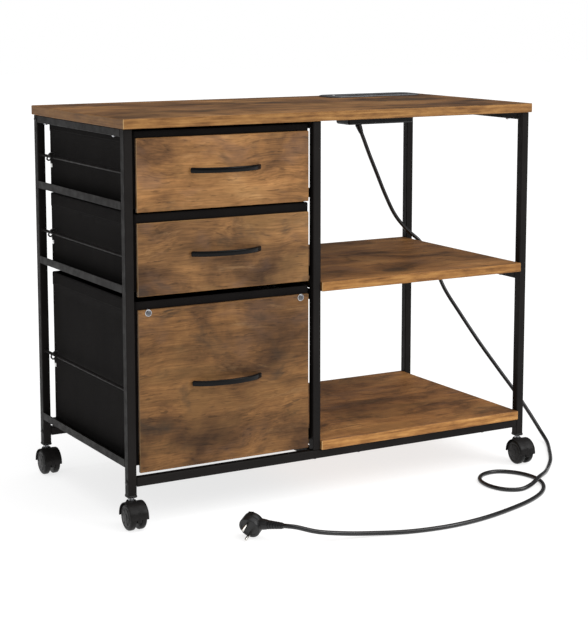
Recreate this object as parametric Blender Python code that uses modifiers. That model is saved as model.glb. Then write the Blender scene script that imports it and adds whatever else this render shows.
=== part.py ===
"""Mobile printer stand: a rolling steel frame with two shelves, a top board with a
recessed power outlet, two fabric drawers and a fabric file drawer with board fronts.

Metres, +Z up. The origin is on the floor under the middle of the stand, the drawer
fronts face -Y and the open shelf bay is on the +X side.
"""
import math

import bmesh
import bpy
from mathutils import Matrix, Vector

# ---------------------------------------------------------------- driving dimensions
FRAME_W = 0.838        # outside of the posts, left to right
FRAME_D = 0.407        # outside of the posts, front to back
TUBE = 0.0155          # square tube side
TOP_Z = 0.700          # upper face of the top board
BOARD_T = 0.017        # board thickness, top and shelves
OVER_SIDE = 0.003      # top board past the posts at each side
OVER_FRONT = 0.006
OVER_BACK = 0.004
POST_FOOT = 0.054      # lower end of the corner posts
MID_X = 0.364          # left face of the two middle posts, from the frame's left side
BASE_LOW = 0.072       # underside of the bottom frame tubes
SHELF_TOP_MID = 0.3955
GAP = 0.0003           # clearance between touching pieces
EDGE = 0.0012          # rounded edge of the tubes

RUNNER_LOW = (0.547, 0.406, 0.105)   # underside of the three angle runners
RUNNER_H = 0.0135
RUNNER_T = 0.0018
RUNNER_REACH = 0.034

BOX_LEFT = 0.0198      # fabric boxes, from the frame's left side
BOX_RIGHT = 0.3600
BOX_FRONT = 0.0093
BOX_BACK = 0.385
BOX_WALL = 0.0025
BOX_TOPS = (0.6783, 0.5388, 0.3898)
PANEL_LEFT = 0.0238
PANEL_RIGHT = 0.3558
PANEL_FRONT = 0.003
PANEL_T = 0.006
PANEL_Z = ((0.5420, 0.6662), (0.3990, 0.5233), (0.0942, 0.3757))
HANDLE_Z = (0.6085, 0.4655, 0.2400)
HANDLE_LEN = 0.134
HANDLE_BOW = 0.0247
HANDLE_H = 0.0095
ROD_Z = (0.609, 0.468, 0.2375)
ROD_D = 0.0055

WHEEL_R = 0.0235
WHEEL_W = 0.0125
WEB_T = 0.0080
TRAIL = 0.0115
HOOD_R = 0.0256
HOOD_W = 0.0344

OUTLET_X = (0.640, 0.797)
OUTLET_Y = (0.330, 0.380)
BEZEL_X = (0.598, 0.812)
BEZEL_Y = (0.320, 0.390)
BEZEL_T = 0.003

CORD_D = 0.008

# The origin is the middle of the stand's own plan outline: the caster hoods stand
# proud of the board in front and behind.
ORIGIN_X = FRAME_W / 2
ORIGIN_Y = (FRAME_D - TUBE) / 2 - TRAIL + TUBE / 2
BOARD_UNDER = TOP_Z - BOARD_T
BASE_TOP = BASE_LOW + TUBE
MID_CENTRE = (TUBE + MID_X) / 2      # middle of the drawer bay
BACK = FRAME_D - TUBE                # front face of the rear posts
RIGHT = FRAME_W - TUBE               # left face of the right-hand posts


# ---------------------------------------------------------------- scene and materials
for old in list(bpy.data.objects):
    bpy.data.objects.remove(old, do_unlink=True)


def collection(name):
    found = bpy.data.collections.new(name)
    bpy.context.scene.collection.children.link(found)
    return found


PARTS = collection("mobile_printer_stand")
CUTTERS = collection("cutters")


def material(name, colour, roughness, metallic=0.0):
    mat = bpy.data.materials.new(name)
    mat.use_nodes = True
    shader = mat.node_tree.nodes["Principled BSDF"]
    shader.inputs["Base Color"].default_value = (*colour, 1.0)
    shader.inputs["Roughness"].default_value = roughness
    shader.inputs["Metallic"].default_value = metallic
    mat.diffuse_color = (*colour, 1.0)
    return mat


STEEL = material("black_coated_steel", (0.022, 0.020, 0.020), 0.45, 0.2)
RUSTIC = material("rustic_board", (0.30, 0.17, 0.08), 0.55)
FABRIC = material("black_fabric", (0.014, 0.012, 0.012), 0.95)
HANDLE = material("handle_black", (0.012, 0.012, 0.013), 0.30, 0.6)
ZINC = material("zinc_plated", (0.55, 0.56, 0.58), 0.35, 1.0)
PLASTIC = material("black_plastic", (0.025, 0.024, 0.025), 0.50)
TYRE = material("wheel_nylon", (0.018, 0.017, 0.018), 0.45)
OUTLET_GREY = material("outlet_dark_grey", (0.045, 0.047, 0.050), 0.40)
PVC = material("cord_pvc", (0.020, 0.020, 0.021), 0.45)


# ---------------------------------------------------------------- modelling helpers
def at(x, y, z):
    """A point measured from the frame's front left corner, in the part's own frame."""
    return Vector((x - ORIGIN_X, y - ORIGIN_Y, z))


def place(name, mesh, mat, home=PARTS):
    obj = bpy.data.objects.new(name, mesh)
    home.objects.link(obj)
    if mat is not None:
        mesh.materials.append(mat)
    if home is CUTTERS:
        obj.hide_render = True
        obj.display_type = "WIRE"
    return obj


def bevel(obj, width, segments=1, angle=math.radians(35)):
    mod = obj.modifiers.new("rounded_edges", "BEVEL")
    mod.width = width
    mod.segments = segments
    mod.limit_method = "ANGLE"
    mod.angle_limit = angle
    return mod


def boolean(obj, other, operation="DIFFERENCE"):
    mod = obj.modifiers.new(operation.lower(), "BOOLEAN")
    mod.operation = operation
    mod.solver = "EXACT"
    mod.object = other
    return mod


def box(name, xs, ys, zs, mat, edge=0.0, home=PARTS, segments=1):
    """A block between two planes on each axis, measured from the frame's corner."""
    mesh = bpy.data.meshes.new(name)
    bm = bmesh.new()
    bmesh.ops.create_cube(bm, size=1.0)
    size = Vector((xs[1] - xs[0], ys[1] - ys[0], zs[1] - zs[0]))
    bmesh.ops.scale(bm, vec=size, verts=bm.verts)
    bm.to_mesh(mesh)
    bm.free()
    obj = place(name, mesh, mat, home)
    obj.location = at(sum(xs) / 2, sum(ys) / 2, sum(zs) / 2)
    if edge:
        bevel(obj, edge, segments)
    return obj


def cylinder(name, radius, depth, segments, mat, home=PARTS, radius_top=None):
    """A cylinder or cone along its own Z, centred on its origin."""
    mesh = bpy.data.meshes.new(name)
    bm = bmesh.new()
    bmesh.ops.create_cone(
        bm,
        cap_ends=True,
        segments=segments,
        radius1=radius,
        radius2=radius if radius_top is None else radius_top,
        depth=depth,
    )
    bm.to_mesh(mesh)
    bm.free()
    mesh.shade_smooth()
    mesh.set_sharp_from_angle(angle=math.radians(40))
    return place(name, mesh, mat, home)


def turned(name, profile, steps, mat, home=PARTS):
    """A body turned about its own Z from (radius, height) points, top to bottom."""
    mesh = bpy.data.meshes.new(name)
    bm = bmesh.new()
    ring = [bm.verts.new((r, 0.0, z)) for r, z in profile]
    for a, b in zip(ring, ring[1:]):
        bm.edges.new((a, b))
    bm.to_mesh(mesh)
    bm.free()
    obj = place(name, mesh, mat, home)
    mod = obj.modifiers.new("turn", "SCREW")
    mod.angle = math.radians(360)
    mod.screw_offset = 0.0
    mod.steps = steps
    mod.render_steps = steps
    mod.use_merge_vertices = True
    mod.merge_threshold = 0.00005
    mod.use_smooth_shade = True
    return obj


def outline(name, loops, thickness, mat, home=PARTS):
    """A flat plate from closed outlines in its own XY plane, centred on that plane."""
    curve = bpy.data.curves.new(name, "CURVE")
    curve.dimensions = "2D"
    curve.fill_mode = "BOTH"
    curve.extrude = thickness / 2
    for loop in loops:
        spline = curve.splines.new("POLY")
        spline.points.add(len(loop) - 1)
        for point, (x, y) in zip(spline.points, loop):
            point.co = (x, y, 0.0, 1.0)
        spline.use_cyclic_u = True
    obj = bpy.data.objects.new(name, curve)
    home.objects.link(obj)
    curve.materials.append(mat)
    weld = obj.modifiers.new("weld", "WELD")
    weld.merge_threshold = 0.00005
    return obj


def wire(name, points, diameter, mat, resolution=2):
    """A round bar or cord along a list of points, with closed ends."""
    curve = bpy.data.curves.new(name, "CURVE")
    curve.dimensions = "3D"
    curve.bevel_depth = diameter / 2
    curve.bevel_resolution = resolution
    curve.use_fill_caps = True
    spline = curve.splines.new("POLY")
    spline.points.add(len(points) - 1)
    for point, co in zip(spline.points, points):
        point.co = (*co, 1.0)
    obj = bpy.data.objects.new(name, curve)
    PARTS.objects.link(obj)
    curve.materials.append(mat)
    return obj


def turn_to(obj, direction, location):
    """Points an object's own +Z along a direction at a location."""
    obj.rotation_mode = "QUATERNION"
    obj.rotation_quaternion = Vector(direction).to_track_quat("Z", "Y")
    obj.location = location
    return obj


def rounded_rectangle(half_x, half_y, radius, steps):
    loop = []
    for corner, (sx, sy) in enumerate(((1, 1), (-1, 1), (-1, -1), (1, -1))):
        for step in range(steps + 1):
            angle = math.radians(90 * corner + 90 * step / steps)
            cx = sx * (half_x - radius)
            cy = sy * (half_y - radius)
            loop.append((cx + radius * math.cos(angle), cy + radius * math.sin(angle)))
    return loop


# ---------------------------------------------------------------- steel frame
POST_TOP = BOARD_UNDER - GAP
for post_name, post_x in (("left", 0.0), ("right", RIGHT)):
    for row, post_y in (("front", 0.0), ("back", BACK)):
        box(
            "post_" + row + "_" + post_name,
            (post_x, post_x + TUBE),
            (post_y, post_y + TUBE),
            (POST_FOOT, POST_TOP),
            STEEL,
            EDGE,
        )
box("post_front_middle", (MID_X, MID_X + TUBE), (0.0, TUBE), (BASE_TOP + GAP, POST_TOP), STEEL, EDGE)
box(
    "post_back_middle",
    (MID_X, MID_X + TUBE),
    (BACK, FRAME_D),
    (BASE_TOP + GAP, BOARD_UNDER - TUBE - GAP),
    STEEL,
    EDGE,
)

ACROSS = (TUBE + GAP, RIGHT - GAP)
ALONG = (TUBE + GAP, BACK - GAP)
box("base_tube_front", ACROSS, (0.0, TUBE), (BASE_LOW, BASE_TOP), STEEL, EDGE)
box("base_tube_back", ACROSS, (BACK, FRAME_D), (BASE_LOW, BASE_TOP), STEEL, EDGE)
box("top_tube_back", ACROSS, (BACK, FRAME_D), (BOARD_UNDER - TUBE, POST_TOP), STEEL, EDGE)

TOP_RAIL = (BOARD_UNDER - 0.0140, POST_TOP)
box("top_rail_left", (0.0, TUBE), ALONG, TOP_RAIL, STEEL, EDGE)
box("top_rail_middle", (MID_X, MID_X + TUBE), ALONG, TOP_RAIL, STEEL, EDGE)
box("top_rail_right", (RIGHT, FRAME_W), ALONG, TOP_RAIL, STEEL, EDGE)

SHELF_UNDER = SHELF_TOP_MID - BOARD_T
SHELF_RAIL = (SHELF_UNDER - TUBE, SHELF_UNDER - GAP)
box("shelf_rail_middle", (MID_X, MID_X + TUBE), ALONG, SHELF_RAIL, STEEL, EDGE)
box("shelf_rail_right", (RIGHT, FRAME_W), ALONG, SHELF_RAIL, STEEL, EDGE)
box("base_rail_middle", (MID_X, MID_X + TUBE), ALONG, (BASE_LOW, BASE_TOP - GAP), STEEL, EDGE)
box("base_rail_right", (RIGHT, FRAME_W), ALONG, (BASE_LOW, BASE_TOP - GAP), STEEL, EDGE)

# Angle runners: an upright flange flush with the outside of the posts and a ledge
# that carries the drawer boxes.
RUNNER_LEN = ALONG[1] - ALONG[0]
for count, low in enumerate(RUNNER_LOW, start=1):
    for side, edge_x, sign in (("left", 0.0, 1.0), ("middle", MID_X + TUBE, -1.0)):
        angle_profile = [
            (0.0, 0.0),
            (sign * RUNNER_REACH, 0.0),
            (sign * RUNNER_REACH, RUNNER_T),
            (sign * RUNNER_T, RUNNER_T),
            (sign * RUNNER_T, RUNNER_H),
            (0.0, RUNNER_H),
        ]
        runner = outline("runner_" + side + "_" + str(count), [angle_profile], RUNNER_LEN, STEEL)
        runner.rotation_euler = (math.radians(90), 0.0, 0.0)
        runner.location = at(edge_x, (ALONG[0] + ALONG[1]) / 2, low)

# Slim round rods between the left posts, at half height of each drawer.
for count, rod_z in enumerate(ROD_Z, start=1):
    wire(
        "side_rod_" + str(count),
        [at(TUBE / 2, ALONG[0], rod_z), at(TUBE / 2, ALONG[1], rod_z)],
        ROD_D,
        STEEL,
        1,
    )


# ---------------------------------------------------------------- boards
top_board = box(
    "top_board",
    (-OVER_SIDE, FRAME_W + OVER_SIDE),
    (-OVER_FRONT, FRAME_D + OVER_BACK),
    (BOARD_UNDER, TOP_Z),
    RUSTIC,
    0.0010,
)
outlet_hole = box(
    "outlet_hole",
    (OUTLET_X[0] - 0.0005, OUTLET_X[1] + 0.0005),
    (OUTLET_Y[0] - 0.0005, OUTLET_Y[1] + 0.0005),
    (BOARD_UNDER - 0.010, TOP_Z + 0.010),
    None,
    home=CUTTERS,
)
boolean(top_board, outlet_hole)

SHELF_X = (MID_X + TUBE + GAP, RIGHT - GAP)
SHELF_Y = (-0.005, FRAME_D - 0.002)
box("middle_shelf", SHELF_X, SHELF_Y, (SHELF_UNDER, SHELF_TOP_MID), RUSTIC, 0.0010)
LOWER_SHELF_Z = (BASE_TOP + GAP, BASE_TOP + GAP + BOARD_T)
box("lower_shelf", SHELF_X, SHELF_Y, LOWER_SHELF_Z, RUSTIC, 0.0010)


# ---------------------------------------------------------------- drawers
def bow_handle(name, z):
    """A flat bar bent into a shallow bow, with short feet against the drawer front."""
    half = HANDLE_LEN / 2
    thick = 0.0055
    steps = 12
    outer = []
    inner = []
    for step in range(steps + 1):
        x = -half + HANDLE_LEN * step / steps
        t = x / half
        outer.append((x, -0.0055 - (HANDLE_BOW - 0.0055) * max(0.0, 1 - t * t) ** 0.75))
    reach = half - 0.012
    for step in range(steps + 1):
        x = reach - 2 * reach * step / steps
        t = x / reach
        inner.append((x, -(HANDLE_BOW - thick) * max(0.0, 1 - t * t) ** 0.75))
    outer.append((half, 0.0))
    loop = outer + inner + [(-half, 0.0)]
    handle = outline(name, [loop], HANDLE_H, HANDLE)
    bevel(handle, 0.0009, 1, math.radians(60))
    handle.location = at(MID_CENTRE, PANEL_FRONT - GAP, z)
    return handle


for count in range(3):
    label = ("upper", "middle", "file")[count]
    floor_z = RUNNER_LOW[count] + RUNNER_T + GAP
    fabric = box(
        "drawer_box_" + label,
        (BOX_LEFT, BOX_RIGHT),
        (BOX_FRONT, BOX_BACK),
        (floor_z, BOX_TOPS[count]),
        FABRIC,
        0.0020,
    )
    inside = box(
        "drawer_inside_" + label,
        (BOX_LEFT + BOX_WALL, BOX_RIGHT - BOX_WALL),
        (BOX_FRONT + BOX_WALL, BOX_BACK - BOX_WALL),
        (floor_z + BOX_WALL, BOX_TOPS[count] + 0.05),
        None,
        home=CUTTERS,
    )
    boolean(fabric, inside)
    box(
        "drawer_front_" + label,
        (PANEL_LEFT, PANEL_RIGHT),
        (PANEL_FRONT, PANEL_FRONT + PANEL_T),
        PANEL_Z[count],
        RUSTIC,
        0.0008,
    )
    bow_handle("drawer_handle_" + label, HANDLE_Z[count])

# Two flat bars inside the file drawer carry hanging folders.
for side, bar_x in (("left", MID_CENTRE - 0.149), ("right", MID_CENTRE + 0.149)):
    box(
        "file_bar_" + side,
        (bar_x - 0.001, bar_x + 0.001),
        (BOX_FRONT + BOX_WALL + GAP, BOX_BACK - BOX_WALL - GAP),
        (0.3640, 0.3770),
        ZINC,
    )


# ---------------------------------------------------------------- casters
def caster(label, post_x, post_y):
    """A twin-wheel hooded caster. The empty stands on the swivel axis."""
    pivot = bpy.data.objects.new("caster_pivot_" + label, None)
    PARTS.objects.link(pivot)
    pivot.location = at(post_x, post_y, 0.0)

    across = Matrix.Rotation(math.radians(90), 4, "Y")
    hood = cylinder("caster_hood_" + label, HOOD_R, HOOD_W, 32, PLASTIC)
    hood.data.transform(Matrix.Translation((0.0, -TRAIL, WHEEL_R)) @ across)
    hood.parent = pivot
    neck = cylinder("caster_neck_" + label, 0.0075, 0.010, 24, None, CUTTERS)
    neck.data.transform(Matrix.Translation((0.0, 0.0, 0.0440)))
    neck.parent = pivot
    boolean(hood, neck, "UNION")
    stem = cylinder("caster_stem_" + label, 0.0050, 0.0137, 24, None, CUTTERS)
    stem.data.transform(Matrix.Translation((0.0, 0.0, POST_FOOT - GAP - 0.0137 / 2)))
    stem.parent = pivot
    boolean(hood, stem, "UNION")
    pocket_w = (HOOD_W - WEB_T) / 2 + 0.010
    for side, sign in (("left", -1.0), ("right", 1.0)):
        pocket = cylinder(
            "caster_pocket_" + side + "_" + label, WHEEL_R + 0.0008, pocket_w, 32, None, CUTTERS
        )
        middle = sign * (WEB_T / 2 + pocket_w / 2)
        pocket.data.transform(Matrix.Translation((middle, -TRAIL, WHEEL_R)) @ across)
        pocket.parent = pivot
        boolean(hood, pocket)
    for side, sign in (("left", -1.0), ("right", 1.0)):
        skirt = box(
            "caster_skirt_" + side + "_" + label,
            (0.0, 0.05),
            (0.0, 0.10),
            (0.0, 0.05),
            None,
            home=CUTTERS,
        )
        skirt.location = (sign * (WEB_T / 2 + 0.025), -TRAIL, WHEEL_R - 0.003 - 0.025)
        skirt.parent = pivot
        boolean(hood, skirt)
    slot = box("caster_slot_" + label, (0.0, 0.05), (0.0, 0.10), (0.0, 0.03), None, home=CUTTERS)
    slot.location = (0.0, -TRAIL, 0.012 - 0.015)
    slot.parent = pivot
    boolean(hood, slot)

    half = WHEEL_W / 2
    tread = [
        (0.0, half),
        (0.0060, half),
        (0.0080, half - 0.0008),
        (0.0165, half - 0.0012),
        (0.0190, half - 0.0020),
        (0.0222, half - 0.0030),
        (WHEEL_R, half - 0.0052),
        (WHEEL_R, -half + 0.0020),
        (WHEEL_R - 0.0012, -half + 0.0004),
        (0.0205, -half),
        (0.0, -half),
    ]
    for side, sign in (("left", -1.0), ("right", 1.0)):
        wheel = turned("caster_wheel_" + side + "_" + label, tread, 28, TYRE)
        wheel.parent = pivot
        wheel.rotation_euler = (0.0, sign * math.radians(90), 0.0)
        wheel.location = (sign * (WEB_T / 2 + GAP + half), -TRAIL, WHEEL_R)


POST_HALF = TUBE / 2
caster("front_left", POST_HALF, POST_HALF)
caster("front_right", FRAME_W - POST_HALF, POST_HALF)
caster("back_left", POST_HALF, FRAME_D - POST_HALF)
caster("back_right", FRAME_W - POST_HALF, FRAME_D - POST_HALF)


# ---------------------------------------------------------------- power outlet
OUTLET_MID = ((OUTLET_X[0] + OUTLET_X[1]) / 2, (OUTLET_Y[0] + OUTLET_Y[1]) / 2)
OUTLET_LOW = 0.644
box("outlet_housing", OUTLET_X, OUTLET_Y, (OUTLET_LOW, 0.6790), PLASTIC, 0.0030)
insert = box(
    "outlet_insert",
    (OUTLET_X[0] + 0.003, OUTLET_X[1] - 0.003),
    (OUTLET_Y[0] + 0.002, OUTLET_Y[1] - 0.002),
    (0.6790 + GAP, 0.7018),
    PLASTIC,
    0.0010,
)
SOCKET_X = (0.6645, 0.7200)
for count, socket_x in enumerate(SOCKET_X, start=1):
    cup = cylinder("socket_cup_" + str(count), 0.0195, 0.034, 40, None, CUTTERS)
    cup.location = at(socket_x, OUTLET_MID[1], 0.7018)
    boolean(insert, cup)
for count, port_y in enumerate((OUTLET_MID[1] - 0.0085, OUTLET_MID[1] + 0.0085), start=1):
    port = box(
        "charging_port_" + str(count),
        (0.7620, 0.7750),
        (port_y - 0.0028, port_y + 0.0028),
        (0.6900, 0.7100),
        None,
        home=CUTTERS,
    )
    boolean(insert, port)
BEZEL_HALF = ((BEZEL_X[1] - BEZEL_X[0]) / 2, (BEZEL_Y[1] - BEZEL_Y[0]) / 2)
bezel_mid = ((BEZEL_X[0] + BEZEL_X[1]) / 2, (BEZEL_Y[0] + BEZEL_Y[1]) / 2)
window_shift = OUTLET_MID[0] - bezel_mid[0]
window = [
    (window_shift + sx * (0.0755 + 0.0005), sy * (0.0230 + 0.0005))
    for sx, sy in ((1, 1), (1, -1), (-1, -1), (-1, 1))
]
bezel = outline(
    "outlet_bezel",
    [rounded_rectangle(BEZEL_HALF[0], BEZEL_HALF[1], 0.020, 6), window],
    BEZEL_T,
    OUTLET_GREY,
)
bevel(bezel, 0.0010, 1, math.radians(60))
bezel.location = at(bezel_mid[0], bezel_mid[1], TOP_Z + GAP + BEZEL_T / 2)


# ---------------------------------------------------------------- mains lead
# The lead leaves the housing through a tapered gland, lies over the right-hand end of
# the middle shelf, hangs outside the frame to the floor and runs round to the front.
EXIT_AXIS = Vector((0.440, 0.090, -0.870)).normalized()
GLAND_TOP = at(0.6730, 0.3515, OUTLET_LOW + 0.006)
GLAND_LEN = 0.028
gland = turned(
    "cord_gland",
    [
        (0.0, GLAND_LEN),
        (0.0046, GLAND_LEN),
        (0.0050, GLAND_LEN - 0.006),
        (0.0060, GLAND_LEN - 0.017),
        (0.0066, 0.008),
        (0.0066, 0.0),
        (0.0, 0.0),
    ],
    20,
    PVC,
)
turn_to(gland, EXIT_AXIS, GLAND_TOP)
gland_trim = box("gland_trim", (0.64, 0.71), (0.33, 0.38), (OUTLET_LOW - GAP, 0.68), None, home=CUTTERS)
boolean(gland, gland_trim)

PLUG_AT = at(0.1609, -0.1431, 0.0236)
PIN_DIR = Vector((-0.783, -0.493, -0.379)).normalized()
NECK_DIR = Vector((0.500, -0.860, 0.090))
NECK_DIR = (NECK_DIR - NECK_DIR.dot(PIN_DIR) * PIN_DIR).normalized()
PIN_LINE = PIN_DIR.cross(NECK_DIR).normalized()
NECK_START = PLUG_AT - PIN_DIR * 0.002
RELIEF_END = NECK_START + NECK_DIR * 0.060

CORD_START = GLAND_TOP + EXIT_AXIS * (GLAND_LEN + GAP)
CORD_END = RELIEF_END + NECK_DIR * GAP
ROUTE = [
    CORD_START,
    CORD_START + EXIT_AXIS * 0.016,
    at(0.7080, 0.359, 0.580),
    at(0.7310, 0.365, 0.538),
    at(0.7565, 0.371, 0.491),
    at(0.7850, 0.376, 0.446),
    at(0.8170, 0.377, 0.4125),
    at(0.8400, 0.370, 0.3915),
    at(0.8515, 0.356, 0.3690),
    at(0.8600, 0.338, 0.337),
    at(0.8700, 0.314, 0.291),
    at(0.885, 0.282, 0.246),
    at(0.910, 0.244, 0.186),
    at(0.934, 0.206, 0.132),
    at(0.954, 0.170, 0.085),
    at(0.969, 0.142, 0.045),
    at(0.975, 0.117, 0.017),
    at(0.963, 0.082, 0.006),
    at(0.930, 0.032, 0.0042),
    at(0.887, -0.026, 0.0042),
    at(0.847, -0.069, 0.0050),
    at(0.809, -0.107, 0.0100),
    at(0.776, -0.132, 0.0125),
    at(0.741, -0.151, 0.0070),
    at(0.714, -0.156, 0.0042),
    at(0.689, -0.143, 0.0042),
    at(0.677, -0.109, 0.0042),
    at(0.685, -0.070, 0.0042),
    at(0.712, -0.044, 0.0042),
    at(0.746, -0.041, 0.0042),
    at(0.774, -0.068, 0.0042),
    at(0.783, -0.109, 0.0042),
    at(0.772, -0.147, 0.0042),
    at(0.743, -0.184, 0.0042),
    at(0.694, -0.216, 0.0042),
    at(0.614, -0.246, 0.0042),
    at(0.538, -0.264, 0.0042),
    at(0.470, -0.268, 0.0042),
    at(0.400, -0.258, 0.0042),
    at(0.340, -0.240, 0.0060),
    at(0.290, -0.230, 0.0110),
    at(0.240, -0.222, 0.0200),
    CORD_END + NECK_DIR * 0.018 + Vector((0.005, 0.0, -0.0015)),
    CORD_END + NECK_DIR * 0.008,
    CORD_END,
]


def smooth_route(points, spacing):
    """Even steps along a centripetal Catmull-Rom curve through the route's points."""
    padded = [2 * points[0] - points[1], *points, 2 * points[-1] - points[-2]]
    dense = []
    for i in range(1, len(padded) - 2):
        p0, p1, p2, p3 = padded[i - 1 : i + 3]
        t1 = max((p1 - p0).length, 1e-6) ** 0.5
        t2 = t1 + max((p2 - p1).length, 1e-6) ** 0.5
        t3 = t2 + max((p3 - p2).length, 1e-6) ** 0.5
        for step in range(24):
            t = t1 + (t2 - t1) * step / 24
            a1 = (t1 - t) / t1 * p0 + t / t1 * p1
            a2 = (t2 - t) / (t2 - t1) * p1 + (t - t1) / (t2 - t1) * p2
            a3 = (t3 - t) / (t3 - t2) * p2 + (t - t2) / (t3 - t2) * p3
            b1 = (t2 - t) / t2 * a1 + t / t2 * a2
            b2 = (t3 - t) / (t3 - t1) * a2 + (t - t1) / (t3 - t1) * a3
            dense.append((t2 - t) / (t2 - t1) * b1 + (t - t1) / (t2 - t1) * b2)
    dense.append(points[-1])
    total = sum((b - a).length for a, b in zip(dense, dense[1:]))
    count = max(2, round(total / spacing))
    evenly = [dense[0]]
    walked = 0.0
    target = total / count
    for a, b in zip(dense, dense[1:]):
        length = (b - a).length
        while walked + length >= target and len(evenly) < count:
            evenly.append(a + (b - a) * ((target - walked) / length))
            target += total / count
        walked += length
    evenly.append(dense[-1])
    return evenly


centreline = smooth_route(ROUTE, 0.027)
centreline[1:1] = [CORD_START + EXIT_AXIS * 0.007]
centreline[-1:-1] = [CORD_END + NECK_DIR * 0.007]
wire("mains_cord", centreline, CORD_D, PVC, 2)

# Angled two-pin earthed plug: a round body on edge, a neck at right angles to the pins
# and a tapered strain relief.
plug = cylinder("mains_plug", 0.0195, 0.024, 32, PVC)
turn_to(plug, PIN_DIR, PLUG_AT)
bevel(plug, 0.0025, 2)


def plug_part(name, radius, radius_end, start, direction, length, segments):
    piece = cylinder(name, radius, length, segments, None, CUTTERS, radius_end)
    turn_to(piece, direction, start + direction * (length / 2))
    boolean(plug, piece, "UNION")


plug_part("plug_neck", 0.0095, 0.0088, NECK_START, NECK_DIR, 0.030, 24)
plug_part("plug_relief", 0.0076, 0.0052, NECK_START + NECK_DIR * 0.026, NECK_DIR, 0.034, 20)
for pin_side in (-1.0, 1.0):
    pin_start = PLUG_AT + PIN_DIR * 0.010 + PIN_LINE * (pin_side * 0.0095)
    plug_part("plug_pin", 0.0024, 0.0024, pin_start, PIN_DIR, 0.021, 12)
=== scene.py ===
"""Looks of the mobile printer stand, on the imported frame.

Metres, +Z up, origin on the floor under the middle of the stand. The drawer fronts face
-Y and the open shelf bay is on the +X side.
"""
import math

import bmesh
import bpy
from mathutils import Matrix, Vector, noise


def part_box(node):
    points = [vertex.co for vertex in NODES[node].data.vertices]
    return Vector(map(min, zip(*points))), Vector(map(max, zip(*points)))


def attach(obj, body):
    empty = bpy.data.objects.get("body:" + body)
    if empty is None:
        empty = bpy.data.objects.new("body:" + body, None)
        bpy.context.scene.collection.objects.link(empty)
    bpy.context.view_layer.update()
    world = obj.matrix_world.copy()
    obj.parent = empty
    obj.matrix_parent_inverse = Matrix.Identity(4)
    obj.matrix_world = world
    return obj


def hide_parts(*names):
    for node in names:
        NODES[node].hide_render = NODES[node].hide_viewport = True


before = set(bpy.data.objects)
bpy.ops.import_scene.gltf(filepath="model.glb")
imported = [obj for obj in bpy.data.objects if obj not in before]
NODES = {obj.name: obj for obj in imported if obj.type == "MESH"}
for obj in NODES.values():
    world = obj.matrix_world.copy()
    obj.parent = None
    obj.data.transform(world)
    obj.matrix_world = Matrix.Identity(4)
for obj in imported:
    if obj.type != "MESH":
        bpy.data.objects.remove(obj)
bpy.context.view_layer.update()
SCENE = bpy.context.scene

ORIGIN_X = 0.419
ORIGIN_Y = 0.192
FRAME_W = 0.838
FRAME_D = 0.407
TUBE = 0.0155
GAP = 0.0003


def at(x, y, z):
    """A point measured from the frame's front left floor corner."""
    return Vector((x - ORIGIN_X, y - ORIGIN_Y, z))


# ---------------------------------------------------------------- camera
YAW = math.radians(29.86)
PITCH = math.radians(8.1)


def aimed(name, data, location, direction):
    """A camera or light at a place, looking along a direction."""
    obj = bpy.data.objects.new(name, data)
    SCENE.collection.objects.link(obj)
    obj.location = location
    obj.rotation_mode = "QUATERNION"
    obj.rotation_quaternion = Vector(direction).to_track_quat("-Z", "Y")
    return obj


camera_data = bpy.data.cameras.new("camera")
camera_data.sensor_fit = "AUTO"
camera_data.sensor_width = 36.0
camera_data.lens = 94.6
camera_data.shift_y = -0.1282
camera_data.clip_start = 0.05
camera_data.clip_end = 60.0
heading = (math.sin(YAW) * math.cos(PITCH), math.cos(YAW) * math.cos(PITCH), -math.sin(PITCH))
camera = aimed("camera", camera_data, at(-1.117, -2.51, 0.896), heading)
SCENE.camera = camera


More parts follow.
